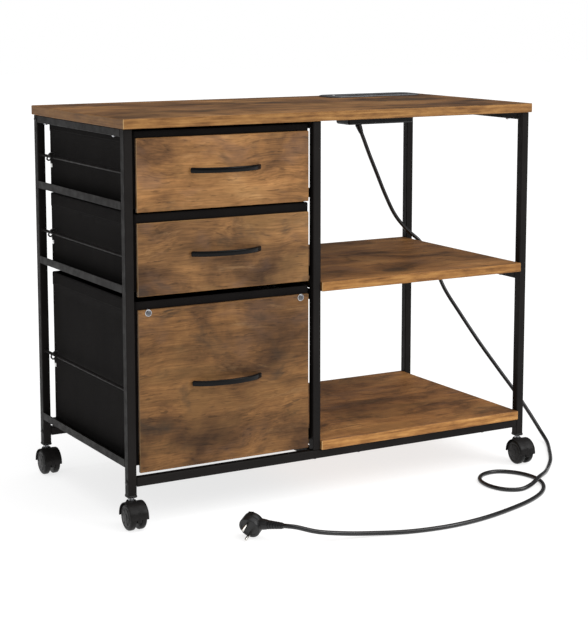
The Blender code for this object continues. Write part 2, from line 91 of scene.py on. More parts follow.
# ---------------------------------------------------------------- node helpers
class Look:
    """A material under construction; every method returns an output socket."""

    def __init__(self, name, rough=0.5, metallic=0.0, specular=0.5):
        self.mat = bpy.data.materials.new(name)
        self.mat.use_nodes = True
        self.tree = self.mat.node_tree
        self.shader = self.tree.nodes["Principled BSDF"]
        self.shader.inputs["Roughness"].default_value = rough
        self.shader.inputs["Metallic"].default_value = metallic
        self.shader.inputs["Specular IOR Level"].default_value = specular
        coordinates = self.tree.nodes.new("ShaderNodeTexCoord")
        self.place = coordinates.outputs["Object"]
        self.normal = coordinates.outputs["Normal"]

    def put(self, socket, value):
        if isinstance(value, bpy.types.NodeSocket):
            self.tree.links.new(value, socket)
        elif isinstance(value, (tuple, list)) and socket.type == "RGBA" and len(value) == 3:
            socket.default_value = (*value, 1.0)
        else:
            socket.default_value = value

    def node(self, kind, inputs):
        """A new node with its inputs filled in."""
        new = self.tree.nodes.new("ShaderNode" + kind)
        for key, value in inputs.items():
            self.put(new.inputs[key], value)
        return new

    def math(self, operation, a, b=0.0):
        new = self.node("Math", {0: a, 1: b})
        new.operation = operation
        return new.outputs[0]

    def times(self, a, b):
        return self.math("MULTIPLY", a, b)

    def plus(self, a, b):
        return self.math("ADD", a, b)

    def minus(self, a, b):
        return self.math("SUBTRACT", a, b)

    def scaled(self, size, shift=(0.0, 0.0, 0.0), vector=None):
        place = self.place if vector is None else vector
        return self.node("Mapping", {"Vector": place, "Location": shift, "Scale": size}).outputs[0]

    def noise(self, vector, scale, detail=3.0, rough=0.55, warp=0.0):
        inputs = {"Vector": vector, "Scale": scale, "Detail": detail, "Roughness": rough}
        return self.node("TexNoise", {**inputs, "Distortion": warp}).outputs[0]

    def cells(self, vector, scale):
        return self.node("TexVoronoi", {"Vector": vector, "Scale": scale}).outputs["Distance"]

    def ranged(self, value, low, high, out_low=0.0, out_high=1.0):
        spans = {"From Min": low, "From Max": high, "To Min": out_low, "To Max": out_high}
        new = self.node("MapRange", {"Value": value, **spans})
        new.interpolation_type = "SMOOTHSTEP"
        return new.outputs[0]

    def ramp(self, value, stops):
        new = self.node("ValToRGB", {0: value})
        elements = new.color_ramp.elements
        while len(elements) < len(stops):
            elements.new(0.5)
        for element, (position, colour) in zip(elements, stops):
            element.position = position
            element.color = (*colour, 1.0)
        return new.outputs[0]

    def mix(self, share, a, b, mode="MIX"):
        new = self.tree.nodes.new("ShaderNodeMix")
        new.data_type = "RGBA"
        new.blend_type = mode
        for socket, value in ((0, share), (6, a), (7, b)):
            self.put(new.inputs[socket], value)
        return new.outputs[2]

    def grey(self, value):
        return self.node("CombineColor", {0: value, 1: value, 2: value}).outputs[0]

    def split(self, vector):
        new = self.node("SeparateXYZ", {0: vector})
        return new.outputs[0], new.outputs[1], new.outputs[2]

    def joined(self, x, y, z):
        return self.node("CombineXYZ", {0: x, 1: y, 2: z}).outputs[0]

    def bump(self, height, distance, strength=1.0, below=None):
        inputs = {"Strength": strength, "Distance": distance, "Height": height}
        if below is not None:
            inputs["Normal"] = below
        new = self.node("Bump", inputs)
        self.put(self.shader.inputs["Normal"], new.outputs[0])
        return new.outputs[0]

    def colour(self, value):
        self.put(self.shader.inputs["Base Color"], value)

    def rough(self, value):
        self.put(self.shader.inputs["Roughness"], value)


def rustic(name, seed, warm, bright, face):
    """Printed rustic wood grain along X on a board's two faces, with edge banding round it."""
    look = Look(name, 0.5, 0.0, 0.18)
    shift = (seed * 1.37, seed * 2.11, seed * 0.73)
    x, y, z = look.split(look.scaled((1.0, 1.0, 1.0), shift))
    drift = look.noise(look.scaled((2.2, 4.0, 4.0), shift), 2.0, 2.0, 0.5)
    bend = look.times(look.minus(drift, 0.5), 0.055)
    across_y = look.plus(y, bend)
    across_z = look.plus(z, bend)
    grain = look.joined(x, across_y, across_z)

    patches = look.noise(look.scaled((0.62, 1.0, 1.0), (0, 0, 0), grain), 9.0, 5.0, 0.62, 0.35)
    face_colour = look.ramp(
        patches,
        [
            (0.3, (0.068, 0.032, 0.014)), (0.42, (0.155, 0.074, 0.029)),
            (0.53, (0.265, 0.128, 0.047)), (0.64, (0.35, 0.178, 0.068)),
            (0.78, (0.45, 0.252, 0.108))
        ]
    )
    streaks = look.noise(look.scaled((2.6, 46.0, 46.0), (0, 0, 0), grain), 1.0, 6.0, 0.66)
    streak_tone = look.ranged(streaks, 0.3, 0.72, 0.7, 1.19)
    fibres = look.noise(look.scaled((16.0, 430.0, 430.0), (0, 0, 0), grain), 1.0, 3.0, 0.6)
    fibre_tone = look.ranged(fibres, 0.3, 0.7, 0.76, 1.18)
    tone = look.times(streak_tone, fibre_tone)
    dashes = look.noise(look.scaled((42.0, 240.0, 240.0), (2.0, 6.0, 1.0), grain), 1.0, 2.0, 0.5)
    tone = look.times(tone, look.ranged(dashes, 0.6, 0.7, 1.0, 0.62))
    face_colour = look.mix(1.0, face_colour, look.grey(tone), "MULTIPLY")

    hue = look.noise(look.scaled((1.0, 1.6, 1.6), (6.0, 2.5, 3.5), grain), 8.0, 3.0, 0.6)
    face_colour = look.mix(look.ranged(hue, 0.34, 0.5, 0.34, 0.0), face_colour, (0.3, 0.16, 0.058))
    face_colour = look.mix(look.ranged(hue, 0.54, 0.7, 0.0, 0.35), face_colour, (0.15, 0.09, 0.068))
    smoke = look.noise(look.scaled((0.8, 1.1, 1.1), (3.1, 1.7, 5.3), grain), 12.0, 4.0, 0.55, 0.5)
    smoke_share = look.ranged(smoke, 0.55, 0.74, 0.0, 0.72)
    face_colour = look.mix(smoke_share, face_colour, (0.052, 0.04, 0.03))
    rub = look.noise(look.scaled((1.6, 7.0, 7.0), (7.7, 2.3, 1.9), grain), 5.0, 5.0, 0.7)
    rub_share = look.ranged(rub, 0.58, 0.8, 0.0, 0.42)
    face_colour = look.mix(rub_share, face_colour, (0.46, 0.27, 0.13))

    knot = look.cells(look.scaled((3.4, 6.6, 6.6), (1.3, 0.4, 2.2), grain), 1.0)
    knot_ring = look.times(look.math("SINE", look.times(knot, 120.0)), 0.12)
    knot_edge = look.plus(knot, look.times(knot_ring, knot))
    knot_share = look.ranged(knot_edge, 0.055, 0.17, 0.78, 0.0)
    face_colour = look.mix(knot_share, face_colour, (0.04, 0.026, 0.018))

    crack = look.noise(look.scaled((1.3, 24.0, 24.0), (5.0, 3.0, 8.0), grain), 1.0, 4.0, 0.6)
    ridge = look.math("ABSOLUTE", look.minus(crack, 0.5))
    where = look.noise(look.scaled((2.5, 5.0, 5.0), (2.0, 9.0, 4.0), grain), 3.0, 2.0, 0.5)
    crack_share = look.times(
        look.ranged(ridge, 0.0, 0.012, 0.55, 0.0), look.ranged(where, 0.5, 0.62, 0.0, 1.0)
    )
    face_colour = look.mix(crack_share, face_colour, (0.03, 0.02, 0.014))

    # Edge banding: its grain runs round the board. Its ends facing X are painted darker as painted
    # shade, and its rounded upright corners carry a pale painted highlight.
    nx, ny, nz = look.split(look.normal)
    side = look.ranged(look.math("ABSOLUTE", nx), 0.6, 0.8)
    run = look.plus(x, look.times(look.minus(y, x), side))
    band = look.joined(run, 0.0, z if face == "Z" else y)
    edge_streaks = look.noise(look.scaled((7.0, 1.0, 210.0), (0, 0, 0), band), 1.0, 5.0, 0.65)
    edge_patches = look.noise(look.scaled((1.0, 1.0, 4.0), (4.0, 2.0, 0.0), band), 22.0, 4.0, 0.6)
    edge_value = look.plus(look.times(edge_streaks, 0.55), look.times(edge_patches, 0.45))
    edge_colour = look.ramp(
        edge_value,
        [
            (0.36, (0.095, 0.042, 0.015)), (0.46, (0.225, 0.108, 0.036)),
            (0.56, (0.345, 0.18, 0.062)), (0.68, (0.47, 0.275, 0.112))
        ]
    )
    # Painted shade: the banding on the ends facing X is mixed towards dark brown.
    edge_colour = look.mix(look.times(side, 0.55), edge_colour, (0.115, 0.058, 0.024))
    # Painted highlight: where the normal is diagonal, on the rounded upright corners, the banding is
    # mixed towards pale brown.
    corner = look.times(look.math("ABSOLUTE", nx), look.math("ABSOLUTE", ny))
    edge_colour = look.mix(look.ranged(corner, 0.2, 0.4, 0.0, 0.8), edge_colour, (0.55, 0.38, 0.2))
    flat = look.math("ABSOLUTE", nz if face == "Z" else ny)
    is_edge = look.ranged(flat, 0.55, 0.85, 1.0, 0.0)
    colour = look.mix(is_edge, face_colour, edge_colour)
    colour = look.mix(1.0, colour, tuple(bright * w for w in warm), "MULTIPLY")
    look.colour(colour)

    look.rough(look.ranged(look.plus(streaks, smoke_share), 0.3, 1.1, 0.46, 0.62))
    relief = look.minus(look.plus(look.times(fibres, 0.5), look.times(streaks, 0.6)), crack_share)
    look.bump(relief, 0.00045, 0.55)
    return look.mat


def powder_coat(name, tone=(0.008, 0.0068, 0.0063)):
    look = Look(name, 0.46, 0.0, 0.1)
    peel = look.noise(look.place, 950.0, 2.0, 0.5)
    broad = look.noise(look.place, 14.0, 3.0, 0.55)
    colour = look.mix(look.ranged(broad, 0.3, 0.7), tone, tuple(1.35 * c for c in tone))
    look.colour(colour)
    look.rough(look.ranged(look.noise(look.place, 60.0, 3.0, 0.6), 0.3, 0.7, 0.4, 0.54))
    look.bump(peel, 0.00012, 0.5)
    return look.mat


def nonwoven(name):
    """Black non-woven fabric with a lattice of pressed dots, fibres and slack ripples."""
    look = Look(name, 0.93, 0.0, 0.08)
    look.shader.inputs["Sheen Weight"].default_value = 0.015
    look.shader.inputs["Sheen Roughness"].default_value = 0.55
    x, y, z = look.split(look.place)
    step = 2 * math.pi / 0.0026
    u = look.times(look.plus(x, y), step)
    v = look.times(look.plus(look.minus(x, y), z), step)
    dots = look.times(look.math("SINE", u), look.math("SINE", v))
    pressed = look.ranged(dots, 0.35, 0.85)
    fibres = look.noise(look.place, 1500.0, 3.0, 0.65, 0.6)
    slack = look.noise(look.scaled((1.0, 1.0, 0.45)), 17.0, 3.0, 0.5)
    tone = look.ramp(
        look.plus(look.times(fibres, 0.6), look.times(slack, 0.4)),
        [
            (0.3, (0.0048, 0.0041, 0.0039)), (0.55, (0.008, 0.0068, 0.0065)),
            (0.8, (0.014, 0.012, 0.0115))
        ]
    )
    look.colour(look.mix(look.times(pressed, 0.45), tone, (0.0045, 0.004, 0.0038)))
    look.rough(look.ranged(pressed, 0.0, 1.0, 0.95, 0.8))
    soft = look.bump(slack, 0.004, 0.35)
    height = look.minus(look.times(fibres, 0.6), pressed)
    look.bump(height, 0.00025, 0.6, soft)
    return look.mat


def moulded(name, tone, low, high, grain=700.0, depth=0.0001, specular=0.5):
    """Moulded plastic or paint: a fine surface grain with faint uneven gloss."""
    look = Look(name, (low + high) / 2, 0.0, specular)
    broad = look.noise(look.place, 22.0, 3.0, 0.6)
    look.colour(look.mix(look.ranged(broad, 0.3, 0.7), tone, tuple(1.3 * c for c in tone)))
    look.rough(look.ranged(look.noise(look.place, 90.0, 4.0, 0.6), 0.3, 0.7, low, high))
    look.bump(look.noise(look.place, grain, 2.0, 0.5), depth, 0.5)
    return look.mat


def plated(name, tone, low, high, stretch=(1.0, 1.0, 1.0)):
    look = Look(name, (low + high) / 2, 1.0, 0.5)
    brushed = look.noise(look.scaled(stretch), 420.0, 3.0, 0.6)
    cloud = look.noise(look.place, 40.0, 3.0, 0.6)
    look.colour(look.mix(look.ranged(cloud, 0.3, 0.7), tone, tuple(0.82 * c for c in tone)))
    look.rough(look.ranged(brushed, 0.3, 0.7, low, high))
    look.bump(brushed, 0.00006, 0.4)
    return look.mat


STEEL = powder_coat("black_powder_coat")
RAIL = powder_coat("black_powder_coat_rail", (0.0088, 0.0076, 0.007))
FABRIC = nonwoven("black_nonwoven")
THREAD = moulded("black_thread", (0.022, 0.02, 0.019), 0.6, 0.75, 1800.0, 0.0001, 0.3)
GLOSS = moulded("handle_gloss_black", (0.0025, 0.0025, 0.0027), 0.16, 0.24, 300.0, 0.00002, 0.14)
HOOD = moulded("hood_black_plastic", (0.008, 0.0072, 0.007), 0.34, 0.48, 900.0, 0.00008, 0.16)
WHEEL = moulded("wheel_black_nylon", (0.007, 0.0064, 0.0062), 0.3, 0.44, 700.0, 0.00006, 0.16)
CAP = moulded("end_cap_black", (0.011, 0.01, 0.0095), 0.5, 0.62, 800.0, 0.0001, 0.35)
SHELL = moulded("outlet_black_shell", (0.009, 0.01, 0.011), 0.42, 0.55, 1100.0, 0.0001, 0.2)
INSERT = moulded("outlet_insert_black", (0.016, 0.016, 0.017), 0.3, 0.4, 900.0, 0.00004, 0.45)
BEZEL = moulded("outlet_grey_bezel", (0.07, 0.072, 0.076), 0.3, 0.42, 600.0, 0.00004, 0.5)
CORD = moulded("cord_black_pvc", (0.009, 0.009, 0.0094), 0.24, 0.32, 260.0, 0.00003, 0.5)
PLUG = moulded("plug_black_pvc", (0.008, 0.008, 0.0084), 0.3, 0.42, 800.0, 0.00005, 0.35)
# Near-black colour standing in for the shade inside the hood's screw holes: painted shade.
HOLE_SHADE = moulded("painted_hole_shade", (0.004, 0.004, 0.004), 0.6, 0.8, 500.0, 0.00003, 0.2)
ZINC = plated("zinc_bright", (0.62, 0.63, 0.65), 0.22, 0.36)
# A darker copy of the zinc, used on the file front screw heads: painted shade.
ZINC_PAINTED_SHADE = plated("zinc_shaded", (0.17, 0.17, 0.18), 0.3, 0.42)
NICKEL = plated("pin_nickel", (0.72, 0.7, 0.66), 0.1, 0.2)
BLACK_BOLT = moulded("bolt_black", (0.016, 0.0145, 0.0138), 0.28, 0.4, 500.0, 0.00005, 0.5)
TIE = moulded("tie_black_nylon", (0.014, 0.013, 0.0125), 0.35, 0.5, 900.0, 0.00005, 0.4)
# Near-white: the real pale plastic of the port tongues and the lamp, and also a painted highlight on
# the tail end of each black tie.
PALE_PLASTIC_AND_HIGHLIGHT = moulded("pale_plastic_and_tie_highlight", (0.84, 0.84, 0.83), 0.35, 0.5, 900.0, 0.00003, 0.5)

BOARD_TOP = rustic("rustic_top_board", 1.0, (1.02, 0.97, 0.86), 0.96, "Z")
BOARD_MIDDLE = rustic("rustic_middle_shelf", 4.2, (1.06, 0.97, 0.8), 1.02, "Z")
BOARD_LOWER = rustic("rustic_lower_shelf", 7.9, (1.04, 0.96, 0.82), 1.28, "Z")
PANEL_UPPER = rustic("rustic_front_upper", 2.6, (1.0, 0.98, 0.92), 1.13, "Y")
PANEL_MIDDLE = rustic("rustic_front_middle", 5.5, (0.97, 0.98, 0.96), 0.95, "Y")
PANEL_FILE = rustic("rustic_front_file", 9.3, (0.99, 0.96, 0.88), 0.74, "Y")


def paint(node, look):
    """Gives a CAD node its detailed material."""
    obj = NODES[node]
    if not obj.material_slots:
        obj.data.materials.append(look)
    for slot in obj.material_slots:
        slot.material = look


for node in NODES:
    if node.startswith(("post_", "base_", "top_tube", "top_rail", "shelf_rail", "side_rod")):
        paint(node, STEEL)
    elif node.startswith("runner_"):
        paint(node, RAIL)
    elif node.startswith("file_bar"):
        paint(node, ZINC)
paint("top_board", BOARD_TOP)
paint("middle_shelf", BOARD_MIDDLE)
paint("lower_shelf", BOARD_LOWER)
paint("drawer_front_upper", PANEL_UPPER)
paint("drawer_front_middle", PANEL_MIDDLE)
paint("drawer_front_file", PANEL_FILE)
paint("outlet_housing", SHELL)
paint("cord_gland", PLUG)


# ---------------------------------------------------------------- mesh helpers
def finish_piece(obj, body, replaced=()):
    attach(obj, body)
    if replaced:
        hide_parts(*replaced)
    return obj


def piece(name, verts, faces, look, smooth_angle=35):
    mesh = bpy.data.meshes.new(name)
    mesh.from_pydata([tuple(v) for v in verts], [], faces)
    mesh.validate()
    bm = bmesh.new()
    bm.from_mesh(mesh)
    bmesh.ops.recalc_face_normals(bm, faces=bm.faces)
    bm.to_mesh(mesh)
    bm.free()
    mesh.materials.append(look)
    mesh.shade_smooth()
    mesh.set_sharp_from_angle(angle=math.radians(smooth_angle))
    obj = bpy.data.objects.new(name, mesh)
    SCENE.collection.objects.link(obj)
    return obj


def skinned(rings, closed_ends=True):
    """Vertices and faces of a skin over rings of equally many points."""
    verts = [p for ring in rings for p in ring]
    count = len(rings[0])
    faces = []
    for row in range(len(rings) - 1):
        for i in range(count):
            j = (i + 1) % count
            a = row * count
            faces.append((a + i, a + j, a + count + j, a + count + i))
    if closed_ends:
        faces.append(tuple(reversed(range(count))))
        last = (len(rings) - 1) * count
        faces.append(tuple(last + i for i in range(count)))
    return verts, faces


def frame_of(direction):
    """Two unit vectors square to a direction."""
    up = Vector((0, 0, 1)) if abs(direction.z) < 0.9 else Vector((0, 1, 0))
    side = direction.cross(up).normalized()
    return side, side.cross(direction).normalized()


def turned_rings(start, direction, profile, count=32):
    """Rings of (distance along, radius) about an axis."""
    side, up = frame_of(direction)
    rings = []
    for along, radius in profile:
        centre = start + direction * along
        ring = []
        for i in range(count):
            angle = 2 * math.pi * i / count
            ring.append(centre + (side * math.cos(angle) + up * math.sin(angle)) * radius)
        rings.append(ring)
    return rings


def turned_piece(name, start, direction, profile, look, count=32, angle=35):
    verts, faces = skinned(turned_rings(start, direction.normalized(), profile, count))
    return piece(name, verts, faces, look, angle)


def rounded_loop(half_x, half_y, radius, steps=5):
    loop = []
    for corner, (sx, sy) in enumerate(((1, 1), (-1, 1), (-1, -1), (1, -1))):
        for step in range(steps + 1):
            angle = math.radians(90 * corner + 90 * step / steps)
            loop.append(
                (
                    sx * (half_x - radius) + radius * math.cos(angle),
                    sy * (half_y - radius) + radius * math.sin(angle)
                )
            )
    return loop


def swept(path, loop, side_axis):
    """Rings of a flat section carried along a path; the section's second axis stays on side_axis."""
    rings = []
    for i, point in enumerate(path):
        ahead = path[min(i + 1, len(path) - 1)] - path[max(i - 1, 0)]
        forward = ahead.normalized()
        across = forward.cross(side_axis).normalized()
        rings.append([point + across * u + side_axis * v for u, v in loop])
    return rings


def joined_parts(name, groups, look, angle=35):
    """One mesh from several (verts, faces) groups."""
    verts = []
    faces = []
    for part_verts, part_faces in groups:
        base = len(verts)
        verts.extend(part_verts)
        faces.extend(tuple(base + i for i in f) for f in part_faces)
    return piece(name, verts, faces, look, angle)


def made(name, groups, look, angle, body, replaced=()):
    """A finished piece on a body, from several (verts, faces) groups."""
    return finish_piece(joined_parts(name, groups, look, angle), body, replaced)


# ---------------------------------------------------------------- mains lead
def smooth_route(points, spacing):
    """Even steps along a centripetal Catmull-Rom curve through the route's points."""
    padded = [2 * points[0] - points[1], *points, 2 * points[-1] - points[-2]]
    dense = []
    for i in range(1, len(padded) - 2):
        p0, p1, p2, p3 = padded[i - 1 : i + 3]
        t1 = max((p1 - p0).length, 1e-6) ** 0.5
        t2 = t1 + max((p2 - p1).length, 1e-6) ** 0.5
        t3 = t2 + max((p3 - p2).length, 1e-6) ** 0.5
        for step in range(24):
            t = t1 + (t2 - t1) * step / 24
            a1 = (t1 - t) / t1 * p0 + t / t1 * p1
            a2 = (t2 - t) / (t2 - t1) * p1 + (t - t1) / (t2 - t1) * p2
            a3 = (t3 - t) / (t3 - t2) * p2 + (t - t2) / (t3 - t2) * p3
            b1 = (t2 - t) / t2 * a1 + t / t2 * a2
            b2 = (t3 - t) / (t3 - t1) * a2 + (t - t1) / (t3 - t1) * a3
            dense.append((t2 - t) / (t2 - t1) * b1 + (t - t1) / (t2 - t1) * b2)
    dense.append(points[-1])
    total = sum((b - a).length for a, b in zip(dense, dense[1:]))
    count = max(2, round(total / spacing))
    evenly = [dense[0]]
    walked = 0.0
    target = total / count
    for a, b in zip(dense, dense[1:]):
        length = (b - a).length
        while walked + length >= target and len(evenly) < count:
            evenly.append(a + (b - a) * ((target - walked) / length))
            target += total / count
        walked += length
    evenly.append(dense[-1])
    return evenly, total


EXIT_AXIS = Vector((0.44, 0.09, -0.87)).normalized()
GLAND_TOP = at(0.673, 0.3515, 0.65)
GLAND_LEN = 0.028
PLUG_AT = at(0.1609, -0.1431, 0.0236)
PIN_DIR = Vector((-0.783, -0.493, -0.379)).normalized()
NECK_DIR = Vector((0.5, -0.86, 0.09))
NECK_DIR = (NECK_DIR - NECK_DIR.dot(PIN_DIR) * PIN_DIR).normalized()
PIN_LINE = PIN_DIR.cross(NECK_DIR).normalized()
NECK_START = PLUG_AT - PIN_DIR * 0.002
RELIEF_END = NECK_START + NECK_DIR * 0.06
CORD_START = GLAND_TOP + EXIT_AXIS * (GLAND_LEN + GAP)
CORD_END = RELIEF_END + NECK_DIR * GAP
CORD_D = 0.008
ROUTE = [
    CORD_START, CORD_START + EXIT_AXIS * 0.016, at(0.708, 0.359, 0.58), at(0.731, 0.365, 0.538),
    at(0.7565, 0.371, 0.491), at(0.785, 0.376, 0.446), at(0.817, 0.377, 0.4125),
    at(0.84, 0.37, 0.3915), at(0.8515, 0.356, 0.369), at(0.86, 0.338, 0.337),
    at(0.87, 0.314, 0.291), at(0.885, 0.282, 0.246), at(0.91, 0.244, 0.186),
    at(0.934, 0.206, 0.132), at(0.954, 0.17, 0.085), at(0.969, 0.142, 0.045),
    at(0.975, 0.117, 0.017), at(0.963, 0.082, 0.006), at(0.93, 0.032, 0.0042),
    at(0.887, -0.026, 0.0042), at(0.847, -0.069, 0.005), at(0.809, -0.107, 0.01),
    at(0.776, -0.132, 0.0125), at(0.741, -0.151, 0.007), at(0.714, -0.156, 0.0042),
    at(0.689, -0.143, 0.0042), at(0.677, -0.109, 0.0042), at(0.685, -0.07, 0.0042),
    at(0.712, -0.044, 0.0042), at(0.746, -0.041, 0.0042), at(0.774, -0.068, 0.0042),
    at(0.783, -0.109, 0.0042), at(0.772, -0.147, 0.0042), at(0.743, -0.184, 0.0042),
    at(0.694, -0.216, 0.0042), at(0.614, -0.246, 0.0042), at(0.538, -0.264, 0.0042),
    at(0.47, -0.268, 0.0042), at(0.4, -0.258, 0.0042), at(0.34, -0.24, 0.006),
    at(0.29, -0.23, 0.011), at(0.24, -0.222, 0.02),
    CORD_END + NECK_DIR * 0.018 + Vector((0.005, 0.0, -0.0015)), CORD_END + NECK_DIR * 0.008,
    CORD_END
]
centreline, cord_length = smooth_route(ROUTE, 0.006)
cord_curve = bpy.data.curves.new("mains_lead", "CURVE")
cord_curve.dimensions = "3D"
cord_curve.bevel_depth = CORD_D / 2
cord_curve.bevel_resolution = 5
cord_curve.use_fill_caps = True
spline = cord_curve.splines.new("POLY")
spline.points.add(len(centreline) - 1)
for point, co in zip(spline.points, centreline):
    point.co = (*co, 1.0)
cord_curve.materials.append(CORD)
lead = bpy.data.objects.new("mains_lead", cord_curve)
SCENE.collection.objects.link(lead)
finish_piece(lead, "frame", ["mains_cord"])


def ringed(count, first, pitch, wide, taper, steps, groove):
    """Profile of a ringed sleeve: a rib and a groove at every step of its pitch."""
    profile = []
    for ring in range(count):
        radius = wide - ring * taper
        for step, less in zip(steps, (0.0, 0.0002, groove, groove)):
            profile.append((first + ring * pitch + step, radius - less))
    return profile


# The angled earthed plug: a round-faced body with a grip rim, a neck and a ringed relief.
body_profile = [
    (-0.012, 0.009), (-0.0119, 0.014), (-0.0112, 0.0164), (-0.0096, 0.0181), (-0.007, 0.0189),
    (-0.003, 0.0191), (0.001, 0.0191), (0.0016, 0.0185), (0.0024, 0.0185), (0.003, 0.0191),
    (0.0096, 0.0193), (0.0112, 0.0189), (0.012, 0.0178), (0.012, 0.0142), (0.0112, 0.0138),
    (0.0112, 0.001)
]
plug_parts = [skinned(turned_rings(PLUG_AT, PIN_DIR, body_profile, 48))]
neck_profile = [(0.004, 0.01), (0.015, 0.01), (0.021, 0.0094), (0.027, 0.0086), (0.029, 0.008)]
neck_profile += ringed(6, 0.029, 0.005, 0.0079, 0.00042, (0.0003, 0.003, 0.0034, 0.0047), 0.0012)
neck_profile += [(0.0597, 0.0049), (0.06, 0.0044)]
plug_parts.append(skinned(turned_rings(NECK_START, NECK_DIR, neck_profile, 32)))
for sign in (-1.0, 1.0):
    grip = []
    for rib in range(4):
        centre = PLUG_AT - PIN_DIR * (0.0085 - 0.0026 * rib) + PIN_LINE * (sign * 0.0184)
        loop = rounded_loop(0.0055, 0.0006, 0.0005, 2)
        rings = []
        for depth in (-0.0012, 0.0009):
            rings.append(
                [centre + PIN_LINE * (sign * depth) + NECK_DIR * u + PIN_DIR * v for u, v in loop]
            )
        grip.append(skinned(rings))
    plug_parts.extend(grip)
plug = made("plug_body", plug_parts, PLUG, 30, "frame", ["mains_plug"])

pins = []
for sign in (-1.0, 1.0):
    start = PLUG_AT + PIN_DIR * 0.0105 + PIN_LINE * (sign * 0.0095)
    profile = [(0.0, 0.0024), (0.018, 0.0024), (0.0192, 0.0022), (0.02, 0.0016), (0.0203, 0.0006)]
    pins.append(skinned(turned_rings(start, PIN_DIR, profile, 24)))
plug_pins = made("plug_pins", pins, NICKEL, 40, "frame")
clips = []
for sign in (-1.0, 1.0):
    centre = PLUG_AT + NECK_DIR * (sign * 0.0187) + PIN_DIR * 0.005
    loop = rounded_loop(0.0026, 0.004, 0.0006, 2)
    rings = []
    for depth in (-0.001, 0.0007):
        rings.append(
            [centre + NECK_DIR * (sign * depth) + PIN_LINE * u + PIN_DIR * v for u, v in loop]
        )
    clips.append(skinned(rings))
earth = made("plug_earth_clips", clips, NICKEL, 40, "frame")

# Ringed sleeve over the gland.
gland_profile = [(0.0066, 0.005), (0.0084, 0.0066), (0.0106, 0.0066)]
gland_profile += ringed(5, 0.011, 0.0031, 0.0065, 0.00034, (0.0, 0.0019, 0.0022, 0.0028), 0.0008)
gland_profile.append((0.028, 0.0043))
gland = turned_piece("gland_sleeve", GLAND_TOP, EXIT_AXIS, gland_profile, PLUG, 32, 30)
finish_piece(gland, "frame", ["cord_gland"])


# ---------------------------------------------------------------- fabric drawers
def ring_walk(low, high, radius, inset, spacing=0.014, corner_steps=4):
    """Points round a rounded rectangle, with the outward direction at each."""
    x0, x1 = low[0] + inset, high[0] - inset
    y0, y1 = low[1] + inset, high[1] - inset
    r = max(0.0008, radius - inset)
    across = max(2, round((high[0] - low[0] - 2 * radius) / spacing))
    along = max(2, round((high[1] - low[1] - 2 * radius) / spacing))
    walk = []
    sides = (
        ((x0 + r, y0), (x1 - r, y0), across, (0.0, -1.0), (x1 - r, y0 + r), -90),
        ((x1, y0 + r), (x1, y1 - r), along, (1.0, 0.0), (x1 - r, y1 - r), 0),
        ((x1 - r, y1), (x0 + r, y1), across, (0.0, 1.0), (x0 + r, y1 - r), 90),
        ((x0, y1 - r), (x0, y0 + r), along, (-1.0, 0.0), (x0 + r, y0 + r), 180)
    )
    for start, end, steps, out, centre, angle0 in sides:
        for step in range(steps):
            t = step / steps
            point = (start[0] + (end[0] - start[0]) * t, start[1] + (end[1] - start[1]) * t)
            walk.append((point, out, 1.0))
        for step in range(corner_steps):
            angle = math.radians(angle0 + 90 * step / corner_steps)
            out_dir = (math.cos(angle), math.sin(angle))
            walk.append(((centre[0] + r * out_dir[0], centre[1] + r * out_dir[1]), out_dir, 0.0))
    return walk


